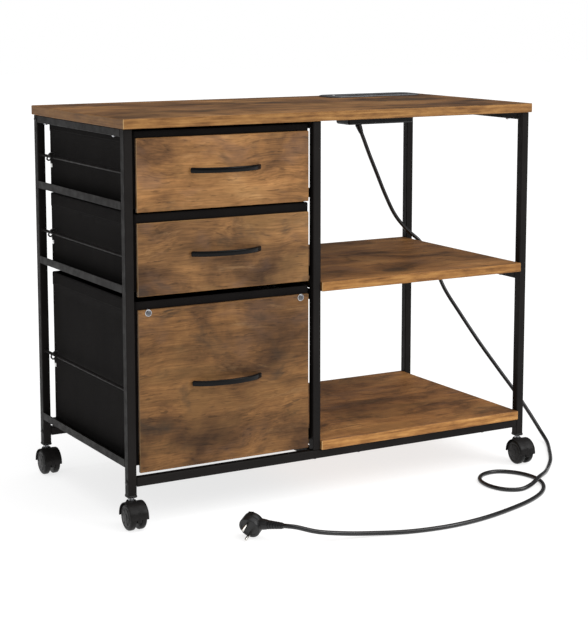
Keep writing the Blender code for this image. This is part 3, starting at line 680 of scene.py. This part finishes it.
def fabric_box(label, seed):
    low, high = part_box("drawer_box_" + label)
    radius = 0.006
    height = high.z - low.z
    hem = 0.024
    rows = []
    rows += [(0.0045, low.z, 0.0), (0.0018, low.z + 0.0003, 0.0), (0.0009, low.z + 0.0016, 0.0)]
    steps = max(4, round((height - hem) / 0.016))
    for step in range(1, steps):
        rows.append((0.001, low.z + (height - hem) * step / steps, 1.0))
    rows += [
        (0.001, high.z - hem - 0.001, 0.5), (0.0003, high.z - hem - 0.0002, 0.2),
        (0.0002, high.z - hem + 0.003, 0.2), (0.0003, high.z - hem * 0.5, 0.3),
        (0.0002, high.z - 0.004, 0.1), (0.0004, high.z - 0.0012, 0.0),
        (0.0013, high.z - 0.0002, 0.0), (0.0022, high.z - 0.0001, 0.0),
        (0.003, high.z - 0.001, 0.0), (0.0033, high.z - 0.004, 0.0), (0.0033, high.z - hem, 0.0),
        (0.0026, high.z - hem - 0.0012, 0.0)
    ]
    inner = max(3, round((height - hem) / 0.03))
    floor_z = low.z + 0.003
    foot_z = high.z - hem - 0.0012
    for step in range(1, inner + 1):
        rows.append((0.0026, foot_z - (foot_z - floor_z - 0.0015) * step / inner, 0.3))
    rows.append((0.004, floor_z, 0.0))
    rings = []
    for inset, z, loose in rows:
        ring = []
        for (x, y), out, side in ring_walk(low, high, radius, inset):
            ripple = noise.noise(Vector((x * 7.0 + seed, y * 7.0, z * 11.0)))
            fine = noise.noise(Vector((x * 26.0, y * 26.0 + seed, z * 20.0)))
            inward = loose * side * (0.0007 + 0.0009 * ripple + 0.0003 * fine)
            inward = max(0.0, inward)
            ring.append(Vector((x - out[0] * inward, y - out[1] * inward, z)))
        rings.append(ring)
    made(
        "fabric_box_" + label, [skinned(rings)], FABRIC, 50, "drawer_" + label,
        ["drawer_box_" + label]
    )

    # Stitches along the foot of the hem, outside.
    groups = []
    walk = ring_walk(low, high, radius, 0.0001, 0.004, 1)
    seam_z = high.z - hem + 0.0028
    for i in range(len(walk)):
        (ax, ay), out, side = walk[i]
        (bx, by), _, side_b = walk[(i + 1) % len(walk)]
        if side < 0.5 or side_b < 0.5:
            continue
        a = Vector((ax, ay, seam_z))
        b = Vector((bx, by, seam_z))
        along = (b - a).normalized()
        start = a + along * 0.0006
        end = b - along * 0.0006
        outward = Vector((out[0], out[1], 0.0))
        rings = []
        taper = along * 0.0006
        for point, swell in ((start, 0.35), (start + taper, 1.0), (end - taper, 1.0), (end, 0.35)):
            ring = []
            for u, v in ((0.0, 0.0001), (0.00022, 0.0), (0.0, -0.0001), (-0.00022, 0.0)):
                ring.append(point + Vector((0, 0, u * swell)) + outward * (v * swell * 1.4))
            rings.append(ring)
        groups.append(skinned(rings))
    made("hem_stitches_" + label, groups, THREAD, 60, "drawer_" + label)

    # Fabric-covered stiffening board laid in the bottom.
    loop = rounded_loop((high.x - low.x) / 2 - 0.0055, (high.y - low.y) / 2 - 0.0055, 0.004, 4)
    centre = (low + high) / 2
    rings = []
    for z, inset in ((0.0031, 0.0), (0.004, 0.0), (0.0046, 0.0007)):
        rings.append(
            [
                Vector(
                    (
                        centre.x + u * (1 - inset / 0.17), centre.y + v * (1 - inset / 0.18),
                        low.z + z
                    )
                ) for u,
                v in loop
            ]
        )
    made("bottom_board_" + label, [skinned(rings)], FABRIC, 40, "drawer_" + label)
    return low, high


BOX_RANGE = {}
for count, label in enumerate(("upper", "middle", "file")):
    BOX_RANGE[label] = fabric_box(label, 3.7 * (count + 1))


# ---------------------------------------------------------------- handles
def handle(label):
    """A glossy bow: a flat bar whose flattened ends stand on the drawer front."""
    low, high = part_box("drawer_handle_" + label)
    middle = (low.x + high.x) / 2
    z = (low.z + high.z) / 2
    half = (high.x - low.x) / 2
    back = high.y
    reach = high.y - low.y
    thick = 0.0052
    path = []
    steps = 40
    for step in range(steps + 1):
        t = -1 + 2 * step / steps
        x = middle + t * (half - 0.0035)
        rise = (reach - thick) * max(0.0, 1 - abs(t) ** 2.1) ** 0.7
        path.append(Vector((x, back - thick / 2 - rise, z)))
    path[0] = Vector((middle - half + 0.0022, back - thick / 2, z))
    path[-1] = Vector((middle + half - 0.0022, back - thick / 2, z))
    loop = rounded_loop(thick / 2, (high.z - low.z) / 2, 0.0017, 4)
    rings = swept(path, loop, Vector((0, 0, 1)))
    ends = []
    for index, sign in ((0, -1.0), (-1, 1.0)):
        ring = rings[index]
        centre = sum(ring, Vector()) / len(ring)
        closing = []
        for share, push in ((0.9, 0.0012), (0.66, 0.0019), (0.3, 0.0022)):
            closing.append(
                [centre + (p - centre) * share + Vector((sign * push, 0, 0)) for p in ring]
            )
        ends.append(closing)
    rings = list(reversed(ends[0])) + rings + ends[1]
    for ring in rings:
        for p in ring:
            p.y = min(p.y, back)
    made(
        "bow_handle_" + label, [skinned(rings)], GLOSS, 50, "drawer_" + label,
        ["drawer_handle_" + label]
    )

    # Screw heads and washers inside the fabric front, one behind each foot.
    inner_y = BOX_RANGE[label][0].y + 0.0029
    for side, sign in (("left", -1.0), ("right", 1.0)):
        start = Vector((middle + sign * (half - 0.009), inner_y, z))
        profile = [
            (0.0, 0.006), (0.0008, 0.006), (0.0009, 0.0036), (0.0022, 0.0034), (0.0028, 0.0024),
            (0.003, 0.001)
        ]
        name = "handle_screw_" + side + "_" + label
        screw = turned_piece(name, start, Vector((0, 1, 0)), profile, ZINC, 24)
        finish_piece(screw, "drawer_" + label)


for label in ("upper", "middle", "file"):
    handle(label)


# ---------------------------------------------------------------- screws and bolts
def bolt(
    name, point, direction, radius=0.0042, height=0.0022, look=BLACK_BOLT
):
    """A low domed head with a hexagon recess."""
    direction = Vector(direction).normalized()
    profile = [
        (0.0, radius), (height * 0.25, radius), (height * 0.6, radius * 0.86),
        (height * 0.88, radius * 0.62), (height, radius * 0.52)
    ]
    side, up = frame_of(direction)
    rings = turned_rings(Vector(point), direction, profile, 24)
    hexagon = []
    for depth, share in ((height, 0.4), (height * 0.35, 0.38)):
        ring = []
        for i in range(24):
            angle = 2 * math.pi * i / 24
            sector = (angle % (math.pi / 3)) - math.pi / 6
            r = radius * share * 0.92 / max(0.5, math.cos(sector))
            spoke = side * math.cos(angle) + up * math.sin(angle)
            ring.append(Vector(point) + direction * depth + spoke * r)
        hexagon.append(ring)
    return made(name, [skinned(rings + hexagon)], look, 30, "frame")


def cross_screw(name, point, direction, body, radius, height, look):
    """A pan head with a cross recess, made as a turned head with four grooves pressed in."""
    direction = Vector(direction).normalized()
    side, up = frame_of(direction)
    rings = []
    count = 48
    rim = ((0.0, 1.0), (0.3, 1.0), (0.62, 0.93), (0.86, 0.76), (0.96, 0.6))
    shares = (*rim, (1.0, 0.44), (1.0, 0.28), (1.0, 0.12))
    for level, share in shares:
        ring = []
        for i in range(count):
            angle = 2 * math.pi * i / count
            r = radius * share
            a = r * math.cos(angle)
            b = r * math.sin(angle)
            cut = 0.0
            if share < 0.62 and (abs(a) < radius * 0.1 or abs(b) < radius * 0.1):
                cut = height * 0.55 * (1 - share / 0.62) + height * 0.15
            ring.append(Vector(point) + direction * (height * level - cut) + side * a + up * b)
        rings.append(ring)
    return made(name, [skinned(rings)], look, 25, body)


# Two broad pan heads hold the folder bars to the file drawer's front.
panel_front_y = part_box("drawer_front_file")[0].y
for side, x in (("left", 0.0424), ("right", 0.3394)):
    spot = at(x, 0.0, 0.3705)
    spot.y = panel_front_y
    outer = [(0.0, 0.0062), (0.0005, 0.0062), (0.0009, 0.0058)]
    inner = [(0.0009, 0.0053), (0.0006, 0.0051), (0.0006, 0.001)]
    name = "file_front_washer_" + side
    washer = turned_piece(name, spot, Vector((0, -1, 0)), outer + inner, ZINC, 40, 30)
    finish_piece(washer, "drawer_file")
    cross_screw(
        "file_front_screw_" + side, spot - Vector((0, 0.0006, 0)), (0, -1, 0), "drawer_file",
        0.0048, 0.0016, ZINC_PAINTED_SHADE
    )

post_left_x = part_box("post_front_left")[0].x
post_right_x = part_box("post_front_right")[1].x
front_y = at(0, TUBE / 2, 0).y
back_y = at(0, FRAME_D - TUBE / 2, 0).y
for row, y in (("front", front_y), ("back", back_y)):
    bolt("bolt_base_left_" + row, (post_left_x, y, 0.08), (-1, 0, 0))
    bolt("bolt_base_right_" + row, (post_right_x, y, 0.08), (1, 0, 0))
bolt("bolt_top_left_back", (post_left_x, back_y, 0.675), (-1, 0, 0))
bolt("bolt_top_right_back", (post_right_x, back_y, 0.675), (1, 0, 0))

# Shelf and board screws under the rails.
for name, x, y, z in (
    ("top_left_front", TUBE / 2, 0.056, 0.669), ("top_left_back", TUBE / 2, 0.366, 0.669),
    ("top_middle_front", 0.364 + TUBE / 2, 0.056, 0.669),
    ("top_middle_back", 0.364 + TUBE / 2, 0.366, 0.669),
    ("top_right_front", FRAME_W - TUBE / 2, 0.056, 0.669),
    ("top_right_back", FRAME_W - TUBE / 2, 0.366, 0.669)
):
    bolt("board_screw_" + name, at(x, y, z), (0, 0, -1), 0.0044, 0.003, ZINC)
for name, x, y in (
    ("lower_front_left", 0.465, TUBE / 2), ("lower_front_right", 0.745, TUBE / 2),
    ("post_front_middle", 0.3718, TUBE / 2), ("lower_back_left", 0.465, FRAME_D - TUBE / 2),
    ("lower_back_right", 0.745, FRAME_D - TUBE / 2),
    ("post_back_middle", 0.3718, FRAME_D - TUBE / 2)
):
    bolt("base_screw_" + name, at(x, y, 0.072), (0, 0, -1), 0.0044, 0.0022)
for name, x, y in (
    ("right_front", FRAME_W - TUBE / 2, 0.07), ("right_back", FRAME_W - TUBE / 2, 0.335),
    ("middle_front", 0.364 + TUBE / 2, 0.07), ("middle_back", 0.364 + TUBE / 2, 0.335)
):
    bolt("shelf_screw_" + name, at(x, y, 0.363), (0, 0, -1), 0.004, 0.002)


# ---------------------------------------------------------------- post end caps
def end_cap(name, x, y, z_low):
    """A chamfered plastic plug with a collar a little wider than its tube."""
    rings = []
    half = TUBE / 2
    for z, grow, radius in (
        (-0.0004, -0.0012, 0.0022), (0.0, -0.0002, 0.002), (0.001, 0.0006, 0.0018),
        (0.0034, 0.0007, 0.0016), (0.004, 0.0003, 0.0014), (0.0042, -0.0006, 0.0012)
    ):
        loop = rounded_loop(half + grow, half + grow, radius, 3)
        rings.append([Vector((x + u, y + v, z_low + z)) for u, v in loop])
    made("end_cap_" + name, [skinned(rings)], CAP, 30, "frame")


left_x = at(TUBE / 2, 0, 0).x
right_x = at(FRAME_W - TUBE / 2, 0, 0).x
CORNERS = {
    "front_left": (left_x, front_y), "front_right": (right_x, front_y),
    "back_left": (left_x, back_y), "back_right": (right_x, back_y)
}
for corner, (x, y) in CORNERS.items():
    end_cap(corner, x, y, 0.0536)


# ---------------------------------------------------------------- casters
WHEEL_R = 0.0235
WEB_T = 0.008
TRAIL = 0.0115


def caster_hood(corner, x, y):
    """Hood shell over both wheels, its web, neck and a bright stem collar."""
    axle = Vector((x, y - TRAIL, WHEEL_R))
    section = [
        (-0.0172, 0.0244), (-0.0171, 0.0249), (-0.0164, 0.0254), (-0.015, 0.0256),
        (-0.0045, 0.0256), (-0.002, 0.0253), (0.002, 0.0253), (0.0045, 0.0256), (0.015, 0.0256),
        (0.0164, 0.0254), (0.0171, 0.0249), (0.0172, 0.0244), (0.0168, 0.0242), (0.005, 0.0242),
        (-0.005, 0.0242), (-0.0168, 0.0242)
    ]
    rings = []
    steps = 40
    for step in range(steps + 1):
        angle = math.radians(-4 + 188 * step / steps)
        ease = min(1.0, min(step, steps - step) / 7.0)
        thin = 0.0013 * (1 - ease) ** 1.5
        ring = []
        for u, r in section:
            reach = r - thin * (r > 0.0245)
            ring.append(axle + Vector((u, -reach * math.cos(angle), reach * math.sin(angle))))
        rings.append(ring)
    groups = [skinned(rings)]

    # The web between the wheels, with a rounded foot.
    outline = []
    count = 44
    for i in range(count):
        angle = 2 * math.pi * i / count
        py = -0.0247 * math.cos(angle)
        pz = 0.0247 * math.sin(angle)
        pz = max(pz, -0.0105 + 0.35 * max(0.0, abs(py) - 0.012))
        outline.append((py, pz))
    rings = []
    rounding = ((0.004, 0.955), (0.0036, 0.985), (0.0028, 1.0))
    for u, share in [(-u, share) for u, share in rounding] + list(reversed(rounding)):
        rings.append([axle + Vector((u, py * share, pz * share)) for py, pz in outline])
    groups.append(skinned(rings))

    neck = [
        (0.0455, 0.0098), (0.0462, 0.0092), (0.0472, 0.0086), (0.0484, 0.0081), (0.0489, 0.0074),
        (0.049, 0.006)
    ]
    neck_rings = turned_rings(Vector((x, y, 0.0)), Vector((0, 0, 1)), [(0.04, 0.0095), *neck], 32)
    groups.append(skinned(neck_rings))
    made(
        "hood_" + corner, groups, HOOD, 30, "caster_" + corner,
        ["caster_hood_" + corner]
    )

    collar = turned_piece(
        "stem_collar_" + corner, Vector((x, y, 0.0)), Vector((0, 0, 1)),
        [
            (0.0488, 0.0052), (0.0492, 0.0058), (0.0506, 0.0058), (0.0509, 0.005), (0.0512, 0.005),
            (0.0534, 0.005), (0.0535, 0.0044)
        ],
        ZINC, 28, 30
    )
    finish_piece(collar, "caster_" + corner)

    # A small screw hole in the front of the hood, drawn as a near-black disc whose colour is the
    # hole's painted shade.
    tilt = math.radians(24)
    out = Vector((0, -math.cos(tilt), math.sin(tilt)))
    rim = turned_piece(
        "hood_hole_shade_" + corner, axle + out * 0.025, out,
        [(0.0, 0.0019), (0.0005, 0.0019), (0.0006, 0.0016), (0.0002, 0.0014), (0.0001, 0.0004)],
        HOLE_SHADE, 20, 30
    )
    finish_piece(rim, "caster_" + corner)


def caster_wheel(corner, side, sign, x, y):
    """A nylon wheel: rounded tread, stepped face, ring groove and a domed hub."""
    start = Vector((x + sign * (WEB_T / 2 + GAP), y - TRAIL, WHEEL_R))
    profile = [
        (0.0, 0.004), (0.0, 0.02), (0.0004, 0.0222), (0.001, 0.0231), (0.002, 0.0235),
        (0.007, 0.0235), (0.0084, 0.0232), (0.0095, 0.0225), (0.0104, 0.0212), (0.011, 0.0196),
        (0.0113, 0.0182), (0.0109, 0.0176), (0.0108, 0.016), (0.0112, 0.0152), (0.0116, 0.011),
        (0.0118, 0.008), (0.0119, 0.0066), (0.0124, 0.006), (0.0125, 0.0045), (0.0125, 0.0015)
    ]
    wheel = turned_piece(
        "wheel_" + side + "_" + corner, start, Vector((sign, 0, 0)), profile, WHEEL, 56, 24
    )
    finish_piece(
        wheel, "wheel_" + side + "_" + corner,
        ["caster_wheel_" + side + "_" + corner]
    )
    # Raised ribs on the face show how the wheel turns.
    groups = []
    for rib in range(6):
        angle = math.radians(60 * rib)
        radial = Vector((0, math.cos(angle), math.sin(angle)))
        tangent = Vector((0, -math.sin(angle), math.cos(angle)))
        out = Vector((sign, 0, 0))
        rings = []
        for along, width in ((0.0064, 0.0007), (0.0072, 0.001), (0.014, 0.0012), (0.0152, 0.0008)):
            centre = start + out * 0.0112 + radial * along
            rings.append(
                [
                    centre - tangent * width, centre - tangent * width * 0.6 + out * 0.0007,
                    centre + tangent * width * 0.6 + out * 0.0007, centre + tangent * width
                ]
            )
        groups.append(skinned(rings))
    made(
        "wheel_ribs_" + side + "_" + corner, groups, WHEEL, 40, "wheel_" + side + "_" + corner,
    )


for corner, (x, y) in CORNERS.items():
    caster_hood(corner, x, y)
    for side, sign in (("left", -1.0), ("right", 1.0)):
        caster_wheel(corner, side, sign, x, y)


# ---------------------------------------------------------------- rods and ties
def strap(name, points, width, thick, look, body, axis_hint):
    """A flat nylon strap along a list of points."""
    smooth, _ = smooth_route([Vector(p) for p in points], 0.0012)
    loop = rounded_loop(thick / 2, width / 2, thick * 0.3, 2)
    rings = []
    for i, point in enumerate(smooth):
        ahead = smooth[min(i + 1, len(smooth) - 1)] - smooth[max(i - 1, 0)]
        forward = ahead.normalized()
        flat = Vector(axis_hint)
        flat = (flat - forward * flat.dot(forward)).normalized()
        across = forward.cross(flat).normalized()
        rings.append([point + across * u + flat * v for u, v in loop])
    return made(name, [skinned(rings)], look, 40, body)


rod_x = at(TUBE / 2, 0, 0).x
for count, rod in enumerate(("side_rod_1", "side_rod_2", "side_rod_3"), start=1):
    low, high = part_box(rod)
    z = (low.z + high.z) / 2
    for end, y, sign in (("front", low.y, 1.0), ("back", high.y, -1.0)):
        collar = turned_piece(
            "rod_collar_" + end + "_" + str(count), Vector((rod_x, y, z)), Vector((0, sign, 0)),
            [(0.0, 0.004), (0.0006, 0.0042), (0.0022, 0.0042), (0.003, 0.0036), (0.0032, 0.0028)],
            STEEL, 24
        )
        finish_piece(collar, "frame")
    y = high.y - 0.045
    loop = []
    for step in range(16):
        angle = math.radians(-100 + 380 * step / 15)
        loop.append(
            (
                rod_x + 0.0002 + 0.0058 * math.cos(angle),
                y + 0.0115 * math.sin(angle) - 0.0008 * step / 15,
                z + 0.006 * math.cos(angle) + 0.001 * math.sin(angle)
            )
        )
    tail = [
        (rod_x - 0.0054, y - 0.012, z - 0.003), (rod_x - 0.0062, y - 0.016, z - 0.006),
        (rod_x - 0.0064, y - 0.018, z - 0.011)
    ]
    head = [
        (rod_x + 0.003, y - 0.004, z + 0.005), (rod_x - 0.003, y - 0.0052, z + 0.0058),
        (rod_x - 0.006, y - 0.007, z + 0.002)
    ]
    # The tail end of the black tie is coloured near-white: a painted highlight.
    highlight_tip = [
        (rod_x - 0.0064, y - 0.018, z - 0.0108), (rod_x - 0.0063, y - 0.0183, z - 0.014),
        (rod_x - 0.0062, y - 0.0187, z - 0.0175)
    ]
    for prefix, points, width, thick, look in (
        ("rod_tie_", loop + tail, 0.0032, 0.0014, TIE), ("rod_tie_head_", head, 0.005, 0.0034, TIE),
        ("rod_tie_highlight_tip_", highlight_tip, 0.0062, 0.0024, PALE_PLASTIC_AND_HIGHLIGHT)
    ):
        name = prefix + str(count)
        strap(name, points, width, thick, look, "frame", (0, 1, 0.2))


# ---------------------------------------------------------------- power outlet
def block(xs, ys, zs, radius, edge, steps=4):
    """A block with rounded upright edges and a softened top and bottom rim."""
    cx, cy = (xs[0] + xs[1]) / 2, (ys[0] + ys[1]) / 2
    hx, hy = (xs[1] - xs[0]) / 2, (ys[1] - ys[0]) / 2
    rings = []
    for z, inset in (
        (zs[0], edge), (zs[0] + edge * 0.3, edge * 0.3), (zs[0] + edge, 0.0), (zs[1] - edge, 0.0),
        (zs[1] - edge * 0.3, edge * 0.3), (zs[1], edge)
    ):
        loop = rounded_loop(hx - inset, hy - inset, max(0.0003, radius - inset), steps)
        rings.append([Vector((cx + u, cy + v, z)) for u, v in loop])
    return skinned(rings)


def carved(name, groups, cutters, look, body, replaced=(), angle=30):
    """A piece with other shapes cut out of it."""
    obj = joined_parts(name, groups, look, angle)
    tools = []
    for i, group in enumerate(cutters):
        tool = joined_parts(name + "_tool_" + str(i), [group], look, angle)
        mod = obj.modifiers.new("cut", "BOOLEAN")
        mod.operation = "DIFFERENCE"
        mod.solver = "EXACT"
        mod.object = tool
        tools.append(tool)
    bpy.context.view_layer.update()
    evaluated = obj.evaluated_get(bpy.context.evaluated_depsgraph_get())
    mesh = bpy.data.meshes.new_from_object(evaluated)
    obj.modifiers.clear()
    obj.data = mesh
    mesh.shade_smooth()
    mesh.set_sharp_from_angle(angle=math.radians(angle))
    for tool in tools:
        bpy.data.objects.remove(tool, do_unlink=True)
    return finish_piece(obj, body, replaced)


insert_low, insert_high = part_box("outlet_insert")
socket_y = (insert_low.y + insert_high.y) / 2
SOCKETS = [at(x, 0, 0).x for x in (0.6645, 0.72)]
CUP_R = 0.0195
CUP_FLOOR = 0.6848
UP = Vector((0, 0, 1))
cutters = []
for x in SOCKETS:
    cutters.append(
        skinned(
            turned_rings(
                Vector((x, socket_y, CUP_FLOOR)), UP,
                [
                    (0.0, CUP_R - 0.001), (0.0006, CUP_R - 0.0002), (0.0012, CUP_R),
                    (insert_high.z - CUP_FLOOR - 0.001, CUP_R),
                    (insert_high.z - CUP_FLOOR, CUP_R + 0.0008),
                    (insert_high.z - CUP_FLOOR + 0.004, CUP_R + 0.001)
                ],
                72
            )
        )
    )
    for sign in (-1.0, 1.0):
        cutters.append(
            skinned(
                turned_rings(
                    Vector((x, socket_y + sign * 0.0095, CUP_FLOOR - 0.0035)), UP,
                    [(0.0, 0.0026), (0.003, 0.0026), (0.004, 0.0032)], 24
                )
            )
        )
port_x = (at(0.762, 0, 0).x, at(0.775, 0, 0).x)
PORT_Y = (socket_y - 0.0085, socket_y + 0.0085)
for y in PORT_Y:
    cutters.append(block(port_x, (y - 0.0028, y + 0.0028), (0.6905, 0.71), 0.0008, 0.0003, 3))
insert_spans = [(insert_low[axis], insert_high[axis]) for axis in range(3)]
carved(
    "outlet_face", [block(*insert_spans, 0.0025, 0.0008)], cutters, INSERT, "frame",
    ["outlet_insert"]
)
for count, x in enumerate(SOCKETS, start=1):
    groups = []
    for sign in (-1.0, 1.0):
        rings = []
        bow = ((0.6852, 0.0012), (0.688, 0.0026), (0.692, 0.003), (0.696, 0.0018), (0.6985, 0.0006))
        for z, reach in bow:
            inner = CUP_R - 0.0004 - reach
            outer = inner + 0.0009
            rings.append(
                [
                    Vector((x + sign * inner, socket_y - 0.0022, z)),
                    Vector((x + sign * inner, socket_y + 0.0022, z)),
                    Vector((x + sign * outer, socket_y + 0.0022, z)),
                    Vector((x + sign * outer, socket_y - 0.0022, z))
                ]
            )
        groups.append(skinned(rings))
    made("socket_earth_clips_" + str(count), groups, NICKEL, 40, "frame")
    groups = []
    for sign in (-1.0, 1.0):
        loop = rounded_loop(0.003, 0.0011, 0.0005, 3)
        rings = []
        for z, share in ((0.685, 1.0), (0.699, 1.0), (0.6998, 0.85)):
            rings.append(
                [Vector((x + u * share, socket_y + sign * 0.0184 + v * share, z)) for u, v in loop]
            )
        groups.append(skinned(rings))
    made("socket_guides_" + str(count), groups, INSERT, 40, "frame")
    # Raised ring round the socket's mouth.
    rings = []
    for z, r in ((0.0, 0.0002), (0.0003, 0.0004), (0.0003, 0.0012), (0.0, 0.0014)):
        rings.append(
            [
                Vector(
                    (
                        x + (CUP_R + 0.0008 + r) * math.cos(2 * math.pi * i / 72),
                        socket_y + (CUP_R + 0.0008 + r) * math.sin(2 * math.pi * i / 72),
                        insert_high.z + z - 0.0001
                    )
                )
                for i in range(72)
            ]
        )
    made(
        "socket_mouth_" + str(count), [skinned(rings + [rings[0]], False)], BEZEL, 40, "frame",
    )
for count, y in enumerate(PORT_Y, start=1):
    tongue_x = (port_x[0] + 0.0012, port_x[1] - 0.0012)
    tongue = block(tongue_x, (y + 0.0002, y + 0.0016), (0.6906, 0.6995), 0.0003, 0.0002, 2)
    made("port_tongue_" + str(count), [tongue], PALE_PLASTIC_AND_HIGHLIGHT, 40, "frame")
    groups = []
    for pad in range(4):
        px = port_x[0] + 0.0027 + 0.00253 * pad
        pad_x = (px - 0.0005, px + 0.0005)
        groups.append(block(pad_x, (y - 0.0001, y + 0.0002), (0.692, 0.699), 0.0001, 0.0001, 1))
    made("port_contacts_" + str(count), groups, NICKEL, 40, "frame")

bezel_low, bezel_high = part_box("outlet_bezel")
bezel_c = (bezel_low + bezel_high) / 2
hx, hy = (bezel_high.x - bezel_low.x) / 2, (bezel_high.y - bezel_low.y) / 2
wx0, wx1 = insert_low.x - 0.0004, insert_high.x + 0.0004
wy = (insert_high.y - insert_low.y) / 2 + 0.0004
whx = (wx1 - wx0) / 2
wcx = (wx0 + wx1) / 2
z0, z1 = bezel_low.z, bezel_high.z
rings = []
for z, inset in (
    (z0, 0.0004), (z0 + 0.0008, 0.0), (z0 + 0.0016, 0.0001), (z0 + 0.0023, 0.0006),
    (z1 - 0.0003, 0.0014), (z1, 0.003), (z1, 0.0048)
):
    loop = rounded_loop(hx - inset, hy - inset, 0.02 - inset * 0.8, 14)
    rings.append([Vector((bezel_c.x + u, bezel_c.y + v, z)) for u, v in loop])
for z, grow in ((z1 - 0.0001, 0.0022), (z1 - 0.0007, 0.0008), (z1 - 0.0012, 0.0), (z0, 0.0)):
    loop = rounded_loop(whx + grow, wy + grow, 0.0026 + grow, 14)
    rings.append([Vector((wcx + u, socket_y + v, z)) for u, v in loop])
made(
    "outlet_frame", [skinned(rings + [rings[0]], False)], BEZEL, 30, "frame",
    ["outlet_bezel"]
)

# A small status lamp on the wide end of the bezel.
lamp = turned_piece(
    "outlet_lamp", Vector((bezel_low.x + 0.022, bezel_c.y, z1 - 0.0006)), UP,
    [(0.0, 0.0024), (0.0007, 0.0024), (0.001, 0.0018), (0.0011, 0.0006)], PALE_PLASTIC_AND_HIGHLIGHT, 24
)
finish_piece(lamp, "frame")


# ---------------------------------------------------------------- floor and light
floor_mesh = bpy.data.meshes.new("studio_floor")
floor_mesh.from_pydata(
    [(-14.0, -8.0, 0.0), (14.0, -8.0, 0.0), (14.0, 16.0, 0.0), (-14.0, 16.0, 0.0)], [],
    [(0, 1, 2, 3)]
)
floor_look = Look("studio_floor", 0.85, 0.0, 0.0)
floor_look.shader.inputs["Emission Color"].default_value = (1.0, 1.0, 1.0, 1.0)
floor_look.shader.inputs["Emission Strength"].default_value = 0.76
floor_look.colour(
    floor_look.mix(
        floor_look.ranged(floor_look.noise(floor_look.place, 1.5, 2.0, 0.5), 0.3, 0.7),
        (0.34, 0.34, 0.34), (0.36, 0.36, 0.36)
    )
)
floor_mesh.materials.append(floor_look.mat)
floor = bpy.data.objects.new("studio_floor", floor_mesh)
SCENE.collection.objects.link(floor)

world = bpy.data.worlds.new("studio")
SCENE.world = world
world.use_nodes = True
rays = world.node_tree.nodes.new("ShaderNodeLightPath")
blend = world.node_tree.nodes["Background"].outputs[0]
world.node_tree.nodes["Background"].inputs["Color"].default_value = (1.0, 1.0, 1.0, 1.0)
world.node_tree.nodes["Background"].inputs["Strength"].default_value = 0.52
for ray, strength in (("Is Glossy Ray", 0.14), ("Is Camera Ray", 1.0)):
    shade = world.node_tree.nodes.new("ShaderNodeBackground")
    shade.inputs["Color"].default_value = (1.0, 1.0, 1.0, 1.0)
    shade.inputs["Strength"].default_value = strength
    chooser = world.node_tree.nodes.new("ShaderNodeMixShader")
    world.node_tree.links.new(rays.outputs[ray], chooser.inputs[0])
    world.node_tree.links.new(blend, chooser.inputs[1])
    world.node_tree.links.new(shade.outputs[0], chooser.inputs[2])
    blend = chooser.outputs[0]
world.node_tree.links.new(blend, world.node_tree.nodes["World Output"].inputs[0])


def softbox(name, location, target, size, power):
    data = bpy.data.lights.new(name, "AREA")
    data.shape = "RECTANGLE"
    data.size = size[0]
    data.size_y = size[1]
    data.energy = power
    return aimed(name, data, location, Vector(target) - Vector(location))


sun_data = bpy.data.lights.new("sun", "SUN")
sun_data.energy = 1.7
sun_data.angle = math.radians(70)
aimed("sun", sun_data, (0.0, 0.0, 0.0), (-0.3, 0.62, -1.25))
softbox("front_right", (1.9, -2.6, 1.9), (0.0, 0.0, 0.35), (1.6, 1.6), 34.0)
softbox("left", (-2.6, -1.2, 1.6), (0.0, 0.0, 0.35), (1.4, 1.8), 6.0)
SCENE.view_settings.view_transform = "Standard"
SCENE.view_settings.look = "None"
